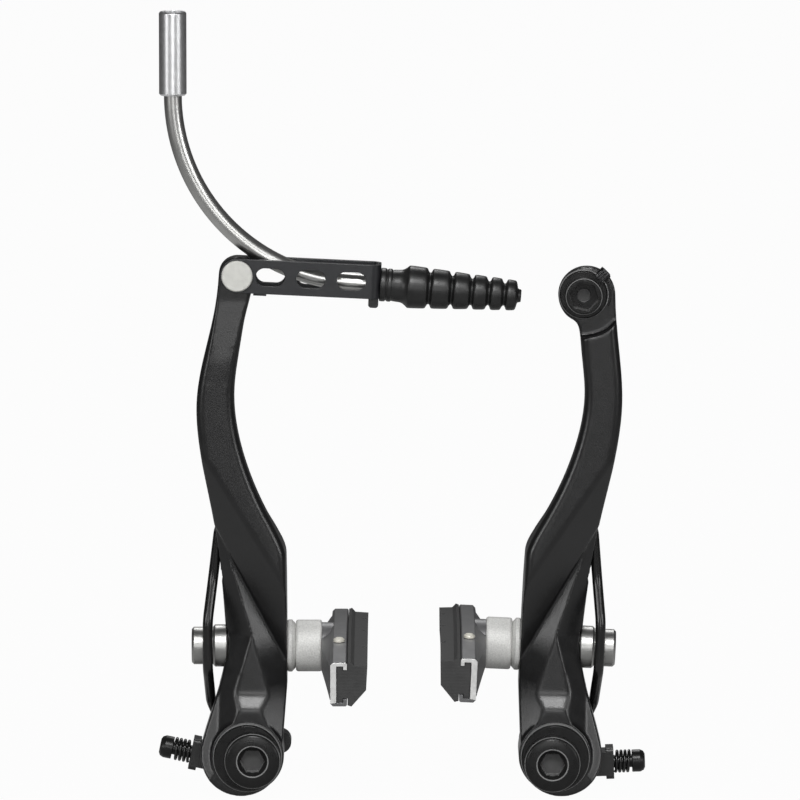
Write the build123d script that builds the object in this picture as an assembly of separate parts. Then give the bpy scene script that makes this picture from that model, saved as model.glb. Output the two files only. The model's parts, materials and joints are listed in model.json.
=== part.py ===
"""Linear-pull bicycle rim brake: two mirrored arms with pads, cable link, guide pipe and boot.

Frame: millimetres, +Z up, X across the wheel, -Y towards the viewer. X = 0 is the wheel's middle plane,
Y = 0 the plane where the sleeves seat on the frame, Z = 0 the pivots' height.
Each side is drawn as the left one in its own pivot frame: u towards the wheel, v up, d forwards from
the seat plane. The right side is its mirror image.
"""
import math
import os

from build123d import *

# Clearances
RUN_FIT = 0.05  # radial, between a turning piece and its shaft
SLIP_FIT = 0.03  # radial, between pieces of one body
BODY_GAP = 0.3  # between pieces that move past each other

# Pivots
PIVOT_SPACING = 71.0
ARM_LEAN = {"left": 0.0, "right": 2.55}  # degrees outwards
BOSS_BORE_D = 8.1
BOSS_GRIP = 8.0  # length of the close part of the bore
RELIEF_D = 8.6  # wider front part of the bore, round the bolt
SLEEVE_D = 10.6
FLANGE_D = 15.9
FLANGE_T = 2.6
BOLT_SHANK_D = 6.0
BOLT_SHANK_LENGTH = 12.5
BOLT_HEAD_D = 12.9
BOLT_HEAD_TOP_D = 11.3  # flat face of the head
BOLT_HEAD_H = 3.4
BOLT_HEX = 5.0
BOLT_HANG = {"left": -10.0, "right": -56.0}  # where each loose bolt leans in its bore, degrees up from u

# Spring seat and tension screw
SEAT_T = 1.4
SEAT_D = 16.2
SPRING_ROOM = 7.4  # depth kept for the coil between the frame and the arm
SEAT_TILT = {"left": 12.0, "right": 2.0}  # degrees, screw end up
LOBE_D = 5.2
LOBE_REACH = 7.3
LOBE_ANGLE = {"left": 15.0, "right": 74.0}
SCREW_DROP = 4.9  # screw axis below the pivot
SCREW_D = 3.0
SCREW_HEAD_D = 5.2
SCREW_HEAD_T = 3.0
SCREW_REACH = {"left": 17.1, "right": 18.1}  # pivot to the inner face of the screw head
CHEEK_REACH = {"left": 12.7, "right": 13.8}  # pivot to the outer face of the square cheek
CHEEK_T = 1.8
CHEEK_H = 7.3
LUG_H = 5.6
SCREW_COIL_D = 5.4
SCREW_COIL_WIRE = 0.7
SCREW_COIL_TURNS = 3.75
LEG_ROOM = 1.3  # room round the coil for the spring's leg as the arm swings out

# Return spring
WIRE_D = 2.35
COIL_RADIUS = 6.75
COIL_PITCH = 2.5
COIL_TURNS = 1.25
LEG_SETBACK = 2.9  # how far the leg's upper run lies behind its run past the nut
LEG_BOW = 3.6  # how far the leg bows out past the arm's flare
STUD_U = -6.95  # the stud that the leg's tip pulls
STUD_V = 57.4
STUD_D = 2.4

# Arm
ARM_BOSS_D = 16.8
ARM_BOSS_T = 14.3
PIN_U = -2.05
PIN_V = 112.4
PIN_HEAD_D = 8.3  # round end of the left arm
CLAMP_U = -1.45
CLAMP_V = 108.0
CLAMP_HEAD_D = 13.1  # round end of the right arm
BOW_U = -11.5
BOW_V = 82.0
NECK_W = 8.65
NECK_LIFT = 2.3  # how far above the bow the neck is narrowest
THROAT = {"left": (1.5, -11.1), "right": (1.5, -6.6)}  # inner edge below the head, from the head's bore
HEAD_JOIN = {"left": -13.0, "right": -36.0}  # where the inner edge runs into the head, degrees
HEAD_SHIFT = {"left": 0.1, "right": 0.8}  # head rounder on the outer side than about its bore
TONGUE_LENGTH = 20.0  # slope from the arm's front down to the tongue inside the link
SHOULDER_U = -9.3
SHOULDER_V = 63.5
WAIST_U = -5.0
WAIST_V = 27.0
KINK_U = 9.0
KINK_V = 46.0
FOOT_U = -1.5
FOOT_D = 18.8
UPPER_T = 7.2
UPPER_ROUND = 1.9
CREASE_STEP = 2.0  # height of the step across the arm
CREASE_TOP = (-6.07, 64.5)
CREASE_END = (7.08, 43.1)
PANEL_DROP = 0.2  # panel below the foot of the step
PANEL_SLOPE_U = 0.7
PANEL_SLOPE_V = 0.43
LEG_T = 8.1  # thickness of the lower leg round the post
RIDGE_TOP = (-5.6, 49.9)  # where the two ridges of the lower leg meet
RIDGE_END = (6.8, 26.2)
CREST_LOW = (4.5, 15.8)  # foot of the crest, where the leg meets the boss
CREST_DEPTH = 20.4
CREST_FORK = 0.654  # share of the crest above the facet
FACET_OUT = (-2.74, 14.9)  # outer foot of the facet
OUTER_FALL = 0.8  # how steeply the leg falls away outside the crest
COVE_TOP = 14.4
COVE_LOW = 10.75
FLARE_U = -5.6
FLARE_FRONT = 19.0  # depth of the flare at its inner edge
FLARE_BACK = 3.0  # the flare's back edge, in front of the arm's back
SPOT_FACE_D = 19.6
CLAMP_BOSS_T = 6.2

# Pad fixing and pad
POST_V = 24.3
POST_D = 6.0
POST_SLOT = 13.0
SEAT_U = -4.7  # flat under the outer washer
SEAT_IN = 9.1  # flat under the dome washer
DOME_D = 12.1
DOME_T = 2.0
SPACER_D = 12.0
SPACER_T = 6.05
NUT_WASHER_D = 9.8
NUT_WASHER_T = 3.3
NUT_D = 8.7
NUT_T = 5.0
NUT_HEX = 5.0
PAD_ARC_R = 320.0
PAD_NEAR = 40.0
PAD_FAR = 31.0
SPINE_T = 2.2
SPINE_H = 9.0
CHANNEL_H = 10.3
CHANNEL_W = 3.8
CHANNEL_BACK = 1.35
CHANNEL_LIP = 0.85
LIP_DROP = 1.7
RUBBER_T = 4.65
RUBBER_BEVEL = 3.8
GROOVE_W = 1.0
GROOVE_T = 1.2
PAD_PIN_D = 1.6
PAD_PIN_AHEAD = 21.5  # retaining pin in front of the post

# Cable link, pipe and boot
LINK_TILT = 2.7
LINK_GAP = 6.0
LINK_SHEET = 1.2
LINK_H = 7.8
LINK_LENGTH = 32.9  # pin to the outer face of the end wall
SLOT_L = 6.7
SLOT_W = 4.1
SLOT_FIRST = 7.6
SLOT_PITCH = 9.3
LINK_PIN_D = 4.0
LINK_PIN_FACE_D = 7.1
LINK_PIN_FACE_T = 0.9
PIPE_D = 4.1
PIPE_BORE = 2.4
PIPE_TILT = 4.7
PIPE_DROP = 0.9  # pipe below the link's middle at the end wall
BEND_TO_PIN = 24.9  # end of the pipe's bend, beyond the pin
PIPE_BEND_R = 43.0
PIPE_TIP = 5.5  # beyond the end wall, inside the boot
COLLAR_D = 5.0
COLLAR_T = 1.4
FERRULE_D = 6.3
FERRULE_LENGTH = 19.2
SOCKET_D = 5.2
SOCKET_DEPTH = 15.0
BOOT_NECK_D = 7.6
BOOT_FIRST_D = 10.1
BOOT_LAST_D = 7.1
BOOT_FOLDS = 6
BOOT_LENGTH = 32.2
BOOT_WALL = 1.1
BOOT_NOSE_D = 3.1
CABLE_HOLE_D = 1.8

# Cable clamp
CLAMP_SHANK_D = 6.0
CLAMP_HEAD_BOLT_D = 8.5
CLAMP_HEAD_H = 4.4
CLAMP_HEX = 6.0
CLAMP_WASHER_D = 11.3
CLAMP_WASHER_T = 2.0

# Places that follow from the sizes, as depths in front of the seat plane
ARM_BACK = SPRING_ROOM + BODY_GAP
BOSS_FRONT = ARM_BACK + ARM_BOSS_T
FLANGE_BACK = BOSS_FRONT + BODY_GAP
FLANGE_FRONT = FLANGE_BACK + FLANGE_T
POST_DEPTH = ARM_BACK + LEG_T / 2 + 0.3
WIRE_DEPTH = POST_DEPTH + NUT_WASHER_D / 2 + WIRE_D / 2 + BODY_GAP
UPPER_BACK = WIRE_DEPTH + WIRE_D / 2 + BODY_GAP
UPPER_FRONT = UPPER_BACK + UPPER_T
CABLE_DEPTH = UPPER_BACK + UPPER_T / 2
PAD_BACK = SEAT_IN + DOME_T + SPACER_T
PIPE_STRAIGHT = LINK_LENGTH - BEND_TO_PIN
FAR = 300.0


def prism(sketch, d0, d1):
    """A front-view outline (u, v) carried from depth d0 to depth d1."""
    return extrude(Plane.XZ.offset(d0) * sketch, d1 - d0)


def disc(u, v, diameter, d0, d1):
    return prism(Pos(u, v) * Circle(diameter / 2), d0, d1)


def barrel(diameter, u0, u1, v, d):
    """A round bar along u."""
    return extrude(Plane.YZ.offset(u0) * Pos(-d, v) * Circle(diameter / 2), u1 - u0)


def turned(points, u=0.0, v=0.0):
    """A body of revolution about a fore-and-aft axis, from (radius, depth) points."""
    face = make_face(Polyline(*points, close=True))
    half_plane = Plane(origin=(0, 0, 0), x_dir=(1, 0, 0), z_dir=(0, 0, -1))
    return Pos(u, 0, v) * revolve(half_plane * face, Axis.Y)


def spun(points, v, d):
    """A body of revolution about an axis along u, from (u, radius) points."""
    face = make_face(Polyline(*points, close=True))
    return Pos(0, -d, v) * revolve(Plane.XY * face, Axis.X)


def side_prism(points):
    """A side-view outline (v, d) carried right across the arm."""
    face = make_face(Polyline(*[(-d, v) for v, d in points], close=True))
    return extrude(Plane.YZ.offset(-FAR / 2) * face, FAR)


def at(u, v, d):
    return Vector(u, -d, v)


def beyond(a, b, c, towards):
    """The half space on one side of the plane through three points."""
    normal = (b - a).cross(c - a).normalized()
    if normal.dot(towards) < 0:
        normal = normal * -1
    return Plane(origin=a, x_dir=b - a, z_dir=normal) * Pos(0, 0, FAR / 2) * Box(FAR, FAR, FAR)


def rounded_path(points, radii):
    """Straight runs through the points, joined by tangent arcs of the given radii."""
    edges = []
    start = points[0]
    for i, radius in enumerate(radii, 1):
        before = (points[i] - points[i - 1]).normalized()
        after = (points[i + 1] - points[i]).normalized()
        turn = math.acos(max(-1.0, min(1.0, before.dot(after))))
        back = radius * math.tan(turn / 2)
        arc_start = points[i] - before * back
        arc_end = points[i] + after * back
        edges.append(Line(start, arc_start))
        edges.append(TangentArc(arc_start, arc_end, tangent=before))
        start = arc_end
    edges.append(Line(start, points[-1]))
    return edges


def rod_along(edges, diameter):
    path = Wire(edges)
    return sweep(Plane(origin=path @ 0, z_dir=path % 0) * Circle(diameter / 2), path=path)


def hexagon(across):
    return RegularPolygon(across / math.sqrt(3), 6)


# Arm


def arm_outline(side, head_u, head_v, head_d):
    """Front outline: round head, bowed neck, kinked inner edge, flared round foot."""
    r = head_d / 2
    cu = head_u - HEAD_SHIFT[side]
    cv = head_v - HEAD_SHIFT[side] / 2
    low = math.radians(HEAD_JOIN[side])
    throat = (head_u + THROAT[side][0], head_v + THROAT[side][1])
    foot = math.radians(165)
    foot_r = FOOT_D / 2
    neck_in = BOW_U + NECK_W
    head_left = (cu - r, cv)
    head_right = (cu + r * math.cos(low), cv + r * math.sin(low))
    foot_left = (FOOT_U + foot_r * math.cos(foot), foot_r * math.sin(foot))
    foot_right = (FOOT_U + foot_r, 0)
    kink_rise = KINK_V + 4.6
    outer = Spline(
        head_left, (BOW_U, BOW_V), (SHOULDER_U, SHOULDER_V), (WAIST_U, WAIST_V),
        tangents=[(-0.06, -1), (0.06, -1)],
    )
    flare = Spline(
        (WAIST_U, WAIST_V), (WAIST_U - 2.4, WAIST_V * 0.47), foot_left,
        tangents=[(0.06, -1), (-math.sin(foot), math.cos(foot))],
    )
    sole = ThreePointArc(foot_left, (FOOT_U, -foot_r), foot_right)
    inner_low = Polyline(foot_right, (SEAT_IN, POST_V - 9), (SEAT_IN, POST_V + 9), (KINK_U, KINK_V))
    inner_high = Spline(
        (KINK_U, KINK_V), (KINK_U - 1.1, kink_rise), (SHOULDER_U + 13.2, SHOULDER_V - 4.9),
        (SHOULDER_U + 9.3, SHOULDER_V + 4.6), (neck_in, BOW_V + NECK_LIFT),
        (neck_in + 0.16 * NECK_W, BOW_V + 6 * NECK_LIFT), throat, head_right,
        tangents=[(0.02, 1), (-math.sin(low), math.cos(low))],
    )
    crown = ThreePointArc(head_right, (cu, cv + r), head_left)
    return make_face([outer, flare, sole, inner_low, inner_high, crown])


def panel_depth(u, v):
    """Depth of the sloping flat panel below the crease."""
    foot = UPPER_FRONT - CREASE_STEP - PANEL_DROP
    return foot + PANEL_SLOPE_U * (u - CREASE_END[0]) + PANEL_SLOPE_V * (v - CREASE_END[1])


def falling(a, b, slope):
    """The space in front of a plane that holds the line a-b and falls away outwards."""
    run = b - a
    out = Vector(run.Z, 0, -run.X).normalized()
    if out.X > 0:
        out = out * -1
    return beyond(a, b, (a + b) * 0.5 + out + Vector(0, slope, 0), Vector(0, -1, 0))


def make_leg(outline):
    """Lower leg: an inner wedge and a falling outer side meet in a crest that opens into a flat facet."""
    forwards = Vector(0, -1, 0)
    apex = at(*RIDGE_TOP, panel_depth(*RIDGE_TOP))
    ridge_end = at(*RIDGE_END, panel_depth(*RIDGE_END))
    crest_low = at(*CREST_LOW, CREST_DEPTH)
    fork = apex + (crest_low - apex) * CREST_FORK
    facet_out = at(*FACET_OUT, CREST_DEPTH)
    leg = prism(outline, ARM_BACK, BOSS_FRONT)
    leg -= beyond(apex, crest_low, ridge_end, forwards)

    # the facet, and the cove that carries it forwards to the boss
    facet = beyond(fork, crest_low, facet_out, forwards)
    cove = beyond(
        at(0, COVE_TOP, CREST_DEPTH), at(1, COVE_TOP, CREST_DEPTH), at(0, COVE_LOW, BOSS_FRONT), forwards
    )
    leg -= facet & cove

    # the outer side, and the flare over the spring's leg
    flare = beyond(
        at(FLARE_U, 10, FLARE_FRONT), at(FLARE_U - 1, 10, FLARE_FRONT - 0.3),
        at(FLARE_U, 11, FLARE_FRONT - 0.25), forwards,
    )
    leg -= falling(apex, fork, OUTER_FALL) & falling(fork, facet_out, OUTER_FALL) & flare
    return leg & beyond(apex, ridge_end, apex + forwards, Vector(-1, 0, -1))


def make_arm(side):
    left = side == "left"
    head_u = PIN_U if left else CLAMP_U
    head_v = PIN_V if left else CLAMP_V
    head_d = PIN_HEAD_D if left else CLAMP_HEAD_D
    outline = arm_outline(side, head_u, head_v, head_d)
    arm = prism(outline, ARM_BACK, UPPER_FRONT)

    # diagonal crease, and the sloping panel below it
    crease = at(*CREASE_TOP, UPPER_FRONT)
    crease_end = at(*CREASE_END, UPPER_FRONT)
    down = (crease_end - crease).cross(Vector(0, 1, 0)).normalized()
    if down.Z > 0:
        down = down * -1
    crease_low = crease + down * CREASE_STEP + Vector(0, CREASE_STEP, 0)
    step = beyond(crease, crease_end, crease_low, down)
    corners = (CREASE_TOP, CREASE_END, RIDGE_END)
    panel = beyond(*[at(u, v, panel_depth(u, v)) for u, v in corners], Vector(0, -1, 0))
    arm -= step & panel
    front = arm.faces().filter_by(Axis.Y).sort_by(Axis.Y)[0]
    arm = fillet(front.edges(), UPPER_ROUND)

    # the lower leg takes the place of the panel below the first ridge
    apex = at(*RIDGE_TOP, panel_depth(*RIDGE_TOP))
    ridge_end = at(*RIDGE_END, panel_depth(*RIDGE_END))
    arm -= beyond(apex, ridge_end, apex + Vector(0, -1, 0), Vector(-1, 0, -1))
    arm += make_leg(outline)
    arm += disc(0, 0, ARM_BOSS_D, ARM_BACK, BOSS_FRONT)

    # thin upper arm, set forwards of the lower leg
    arm -= side_prism([(41, -FAR), (41, ARM_BACK), (57, UPPER_BACK), (FAR, UPPER_BACK), (FAR, -FAR)])
    flare_back = ARM_BACK + FLARE_BACK

    # room behind the flare for the spring's leg
    arm -= prism(Pos(FLARE_U - 10.3, 4.5) * Rectangle(20, 20), -1, flare_back)

    # groove for the spring's leg, and the stud that its tip pulls
    leg_back = WIRE_DEPTH - LEG_SETBACK
    arm -= prism(Pos(FLARE_U - 8.4, 49) * Rectangle(20, 17), -1, leg_back + WIRE_D / 2 + BODY_GAP)
    arm += disc(STUD_U, STUD_V, STUD_D, leg_back - 1.0, UPPER_BACK + 0.5)

    # flat for the outer washer, bores and slot
    arm -= barrel(NUT_WASHER_D + 0.8, -FAR / 2, SEAT_U, POST_V, POST_DEPTH)
    arm -= disc(0, 0, SLEEVE_D + 2 * RUN_FIT, -1, BOSS_FRONT + 1)
    slot = SlotOverall(POST_SLOT, POST_D + 0.6, rotation=90)
    arm -= extrude(Plane.YZ.offset(-FAR / 2) * Pos(-POST_DEPTH, POST_V) * slot, FAR)

    if left:
        half = LINK_GAP / 2 - BODY_GAP
        root = PIN_V - TONGUE_LENGTH
        tongue = CABLE_DEPTH + half
        arm -= side_prism([(root, UPPER_FRONT), (PIN_V - 6, tongue), (FAR, tongue), (FAR, FAR), (root, FAR)])
        arm -= disc(PIN_U, PIN_V, 14.4, -1, CABLE_DEPTH - half)
        arm -= disc(PIN_U, PIN_V, LINK_PIN_D + 2 * SLIP_FIT, 0, FAR)
    else:
        cu = head_u - HEAD_SHIFT[side]
        cv = head_v - HEAD_SHIFT[side] / 2
        arm += disc(cu, cv, head_d - 0.6, CABLE_DEPTH - CLAMP_BOSS_T, CABLE_DEPTH)
        arm -= disc(CLAMP_U, CLAMP_V, SPOT_FACE_D, CABLE_DEPTH, FAR)
        arm -= disc(CLAMP_U, CLAMP_V, CLAMP_SHANK_D + 2 * SLIP_FIT, 0, FAR)
    return arm


# Pivot


def make_sleeve():
    r = SLEEVE_D / 2
    flange_r = FLANGE_D / 2
    edge = 0.5
    body = turned([
        (0, 0), (r, 0), (r, FLANGE_BACK), (flange_r, FLANGE_BACK), (flange_r, FLANGE_FRONT - edge),
        (flange_r - edge, FLANGE_FRONT), (0, FLANGE_FRONT),
    ])
    body -= disc(0, 0, BOSS_BORE_D, -1, BOSS_GRIP)
    return body - disc(0, 0, RELIEF_D, BOSS_GRIP, FLANGE_FRONT + 1)


def make_pivot_bolt(side):
    play = (RELIEF_D - BOLT_SHANK_D) / 2 - 0.1
    lean = math.radians(BOLT_HANG[side])
    u = play * math.cos(lean)
    v = play * math.sin(lean)
    front = FLANGE_FRONT + BOLT_HEAD_H
    r = BOLT_HEAD_D / 2
    top = BOLT_HEAD_TOP_D / 2
    tip = FLANGE_FRONT - BOLT_SHANK_LENGTH
    shank = BOLT_SHANK_D / 2
    bolt = turned([
        (0, tip), (shank - 0.7, tip), (shank, tip + 0.7), (shank, FLANGE_FRONT), (r - 0.3, FLANGE_FRONT),
        (r, FLANGE_FRONT + 0.3), (r, front - 0.9), (r - 0.12, front - 0.5), (top + 0.35, front - 0.12),
        (top, front), (0, front),
    ], u, v)
    bolt -= prism(Pos(u, v) * hexagon(BOLT_HEX), front - 3.0, front + 1)
    mouth = BOLT_HEX / math.sqrt(3) + 0.75
    funnel = [(0, front + 0.1), (mouth, front + 0.1), (mouth - 1.0, front - 0.9), (0, front - 0.9)]
    return bolt - turned(funnel, u, v)


# Spring seat, return spring and tension screw


def make_spring_seat(side):
    tilt = Rot(0, SEAT_TILT[side], 0)
    lobe = math.radians(LOBE_ANGLE[side])
    seat = disc(0, 0, SEAT_D, BODY_GAP, SEAT_T + BODY_GAP)
    reach = (LOBE_REACH * math.cos(lobe), LOBE_REACH * math.sin(lobe))
    seat += disc(*reach, LOBE_D, BODY_GAP, SPRING_ROOM - 2) - disc(0, 0, SEAT_D, SEAT_T, FAR)
    mid = SPRING_ROOM / 2
    cheek_u = CHEEK_REACH[side]
    lug_mid = -(cheek_u + SLEEVE_D / 2) / 2
    lug = Pos(lug_mid, -mid, -SCREW_DROP) * Box(cheek_u - SLEEVE_D / 2, SPRING_ROOM - 2 * BODY_GAP, LUG_H)
    seat += lug - disc(0, 0, SEAT_D + 2 * LEG_ROOM, SEAT_T + BODY_GAP, FAR)
    cheek = Pos(-cheek_u + CHEEK_T / 2, -mid, -SCREW_DROP) * Box(CHEEK_T, SPRING_ROOM - 2 * BODY_GAP, CHEEK_H)
    seat += fillet(cheek.edges().filter_by(Axis.X), 0.8)
    seat -= disc(0, 0, SLEEVE_D + 2 * SLIP_FIT, -1, FAR)
    seat -= barrel(SCREW_D + 2 * RUN_FIT, -FAR / 2, -SLEEVE_D / 2, -SCREW_DROP, mid)
    return tilt * seat


def make_tension_screw(side):
    mid = SPRING_ROOM / 2
    shank_end = -SEAT_D / 2 - LEG_ROOM - 0.3
    under = -SCREW_REACH[side]
    head = under - SCREW_HEAD_T
    r = SCREW_HEAD_D / 2
    shank = SCREW_D / 2
    screw = spun([
        (shank_end, 0), (shank_end, shank - 0.3), (shank_end - 0.3, shank), (under, shank),
        (under, r - 0.1), (under - 0.1, r), (head + 1.1, r), (head + 0.35, r * 0.86),
        (head, r * 0.62), (head, 0),
    ], -SCREW_DROP, mid)
    cross = Pos(head + 0.5, -mid, -SCREW_DROP)
    screw -= cross * Box(1.6, 0.75, 3.1)
    screw -= cross * Box(1.6, 3.1, 0.75)
    return Rot(0, SEAT_TILT[side], 0) * screw


def make_screw_coil(side):
    room = SCREW_REACH[side] - CHEEK_REACH[side] - 2 * 0.05 - SCREW_COIL_WIRE
    start = -CHEEK_REACH[side] - 0.05 - SCREW_COIL_WIRE / 2
    radius = (SCREW_COIL_D - SCREW_COIL_WIRE) / 2
    path = Helix(
        pitch=room / SCREW_COIL_TURNS, height=room, radius=radius,
        center=(start, -SPRING_ROOM / 2, -SCREW_DROP), direction=(-1, 0, 0),
    )
    coil = sweep(Plane(origin=path @ 0, z_dir=path % 0) * Circle(SCREW_COIL_WIRE / 2), path=path)
    return Rot(0, SEAT_TILT[side], 0) * coil


def make_return_spring():
    rise = COIL_PITCH * COIL_TURNS
    first = SEAT_T + BODY_GAP + 0.1 + WIRE_D / 2
    helix = Helix(
        pitch=COIL_PITCH, height=rise, radius=COIL_RADIUS,
        center=(0, -first, 0), direction=(0, -1, 0), lefthand=True,
    )
    end = helix @ 1
    turn = math.degrees(math.atan2(end.Z, end.X)) - 180
    helix = helix.rotate(Axis.Y, turn)
    leave = helix @ 1
    knee_u = FLARE_U - WIRE_D / 2 - 1.9
    legs = [
        leave,
        leave + (helix % 1) * (2.47 * WIRE_D),
        at(knee_u, 0.444 * POST_V, ARM_BACK + 0.9),
        at(FLARE_U - LEG_BOW, 0.823 * POST_V, WIRE_DEPTH),
        at(FLARE_U - LEG_BOW, 1.276 * POST_V, WIRE_DEPTH),
        at(FLARE_U - LEG_BOW * 2 / 3, 0.706 * STUD_V, WIRE_DEPTH - LEG_SETBACK),
        at(STUD_U + 0.15 * WIRE_D, 0.906 * STUD_V, WIRE_DEPTH - LEG_SETBACK),
        at(STUD_U + 1.5 * WIRE_D, 1.02 * STUD_V, WIRE_DEPTH - LEG_SETBACK),
    ]
    bends = [1.7, 2.1, 1.7, 5.1, 6.0, 2.55]
    return rod_along([helix.edge()] + rounded_path(legs, [bend * WIRE_D for bend in bends]), WIRE_D)


# Pad fixing and pad


def make_dome_washer():
    r = DOME_D / 2
    u0 = SEAT_IN
    u1 = SEAT_IN + DOME_T
    hole = POST_D / 2 + 0.2
    return spun([
        (u0, hole), (u0, r - 0.3), (u0 + 0.3, r), (u0 + DOME_T * 0.55, r), (u1, r - 1.0), (u1, hole),
    ], POST_V, POST_DEPTH)


def make_spacer():
    r = SPACER_D / 2
    u0 = SEAT_IN + DOME_T
    hole = POST_D / 2 + 0.2
    return spun([
        (u0, hole), (u0, r - 0.5), (u0 + 0.15, r - 0.15), (u0 + 0.5, r), (PAD_BACK - 0.5, r),
        (PAD_BACK - 0.15, r - 0.15), (PAD_BACK, r - 0.5), (PAD_BACK, hole),
    ], POST_V, POST_DEPTH)


def make_nut_washer():
    r = NUT_WASHER_D / 2
    hole = POST_D / 2 + 0.2
    u0 = SEAT_U - NUT_WASHER_T
    return spun([
        (SEAT_U, hole), (SEAT_U, r - 0.3), (SEAT_U - 0.3, r), (u0 + 0.4, r), (u0, r - 0.4), (u0, hole),
    ], POST_V, POST_DEPTH)


def make_nut():
    r = NUT_D / 2
    u1 = SEAT_U - NUT_WASHER_T
    u0 = u1 - NUT_T
    nut = spun([
        (u1, 0), (u1, r), (u0 + 0.5, r), (u0, r - 0.5), (u0, 0),
    ], POST_V, POST_DEPTH)
    socket = Plane.YZ.offset(u0 - 0.1) * Pos(-POST_DEPTH, POST_V) * hexagon(NUT_HEX)
    nut -= extrude(socket, 2.6)
    return nut - barrel(POST_D + 2 * SLIP_FIT, u0 + 2.4, u1 + 1, POST_V, POST_DEPTH)


def make_post():
    inner = PAD_BACK + SPINE_T + CHANNEL_BACK * 0.5
    outer = SEAT_U - NUT_WASHER_T - NUT_T + 2.6
    r = POST_D / 2
    return spun([
        (inner, 0), (inner, r), (outer + 0.6, r), (outer, r - 0.6), (outer, 0),
    ], POST_V, POST_DEPTH)


def along_pad(section, near, far):
    """A pad section (u, v about the post) carried along the rim's curve."""
    axis = Axis((0, -POST_DEPTH, POST_V - PAD_ARC_R), (1, 0, 0))
    near_turn = math.degrees(near / PAD_ARC_R)
    far_turn = math.degrees(far / PAD_ARC_R)
    placed = Plane.XZ.offset(POST_DEPTH) * Pos(0, POST_V) * section
    return revolve(placed, axis, near_turn + far_turn).rotate(axis, -far_turn)


def on_pad(shape):
    """A shape drawn at the post, moved along the rim's curve to the retaining pin."""
    axis = Axis((0, -POST_DEPTH, POST_V - PAD_ARC_R), (1, 0, 0))
    placed = Pos(PAD_BACK + SPINE_T + CHANNEL_W / 2, -POST_DEPTH, POST_V) * shape
    return placed.rotate(axis, math.degrees(PAD_PIN_AHEAD / PAD_ARC_R))


def pin_hole():
    foot = (Align.CENTER, Align.CENTER, Align.MIN)
    return on_pad(Cylinder(PAD_PIN_D / 2 + SLIP_FIT, 2 * CHANNEL_H, align=foot))


def make_pad_holder():
    u0 = PAD_BACK + SPINE_T
    u1 = u0 + CHANNEL_W
    top = CHANNEL_H / 2
    lip = CHANNEL_LIP
    section = make_face(Polyline(
        (u0, top - 0.6), (u0 + 0.6, top), (u1 - 0.3, top), (u1, top - 0.3), (u1, top - LIP_DROP),
        (u1 - lip, top - LIP_DROP), (u1 - lip, top - lip), (u0 + CHANNEL_BACK, top - lip),
        (u0 + CHANNEL_BACK, lip - top), (u1 - lip, lip - top), (u1 - lip, LIP_DROP - top),
        (u1, LIP_DROP - top), (u1, 0.3 - top), (u1 - 0.3, -top), (u0 + 0.6, -top), (u0, 0.6 - top),
        close=True,
    ))
    holder = along_pad(section, PAD_NEAR, PAD_FAR)
    # spine behind the channel, thick at the post and thinning towards both ends
    plan = make_face(Polyline(
        (PAD_BACK, -POST_DEPTH + 9), (PAD_BACK, -POST_DEPTH - 18), (u0 - 0.1, -POST_DEPTH - PAD_NEAR + 1.5),
        (u0 + 0.7, -POST_DEPTH - PAD_NEAR + 1.5), (u0 + 0.7, -POST_DEPTH + PAD_FAR - 6),
        (u0 - 0.1, -POST_DEPTH + PAD_FAR - 6), close=True,
    ))
    spine = extrude(Plane.XY.offset(-FAR / 2) * plan, FAR)
    half = SPINE_H / 2
    spine_section = make_face(Polyline(
        (PAD_BACK, half - 2.2), (u0 + 0.7, half), (u0 + 0.7, -half), (PAD_BACK, 2.2 - half), close=True,
    ))
    holder += spine & along_pad(spine_section, PAD_NEAR, PAD_FAR)
    holder += barrel(SPACER_D - 1.2, PAD_BACK, u0 + 0.5, POST_V, POST_DEPTH)
    post_end = u0 + CHANNEL_BACK * 0.5 + SLIP_FIT
    holder -= barrel(POST_D + 2 * SLIP_FIT, PAD_BACK - 1, post_end, POST_V, POST_DEPTH)
    return holder - pin_hole()


def make_pad_insert():
    u0 = PAD_BACK + SPINE_T + CHANNEL_BACK
    u1 = PAD_BACK + SPINE_T + CHANNEL_W
    face = u1 + RUBBER_T
    top = CHANNEL_H / 2
    gap = 0.12
    tongue = top - CHANNEL_LIP - gap
    throat = top - LIP_DROP - gap
    u_lip = u1 - CHANNEL_LIP - gap
    section = make_face(Polyline(
        (u0 + gap, tongue), (u_lip, tongue), (u_lip, throat), (u1 + gap, throat), (u1 + gap, top),
        (u1 + 0.8, top + 0.2), (u1 + 1.6, top - 0.7), (face, top - 0.9), (face - 0.3, RUBBER_BEVEL - top),
        (u1 + 1.0, -top - 0.1), (u1 + gap, -top + 0.2), (u1 + gap, -throat), (u_lip, -throat),
        (u_lip, -tongue), (u0 + gap, -tongue), close=True,
    ))
    rubber = along_pad(section, PAD_NEAR - 0.2, PAD_FAR - 0.2)
    for along in (-23.0, -5.0, 14.0):
        cut = Pos(face, -POST_DEPTH + along, POST_V) * Box(2 * GROOVE_T, GROOVE_W, 3 * CHANNEL_H)
        rubber -= cut
    return rubber - pin_hole()


def make_pad_pin():
    top = CHANNEL_H / 2
    r = PAD_PIN_D / 2
    profile = make_face(Polyline(
        (0, 0.1), (r, 0.1), (r, top + 0.1), (r + 0.5, top + 0.1), (r + 0.5, top + 0.6), (r, top + 1.0),
        (0, top + 1.0), close=True,
    ))
    return on_pad(revolve(Plane.XZ * profile, Axis.Z))


# Cable link, pipe and boot


def link_place():
    """From the link's own frame, pin at the origin and length along X, to the left arm's frame."""
    return Pos(PIN_U, -CABLE_DEPTH, PIN_V) * Rot(0, LINK_TILT, 0)


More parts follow.
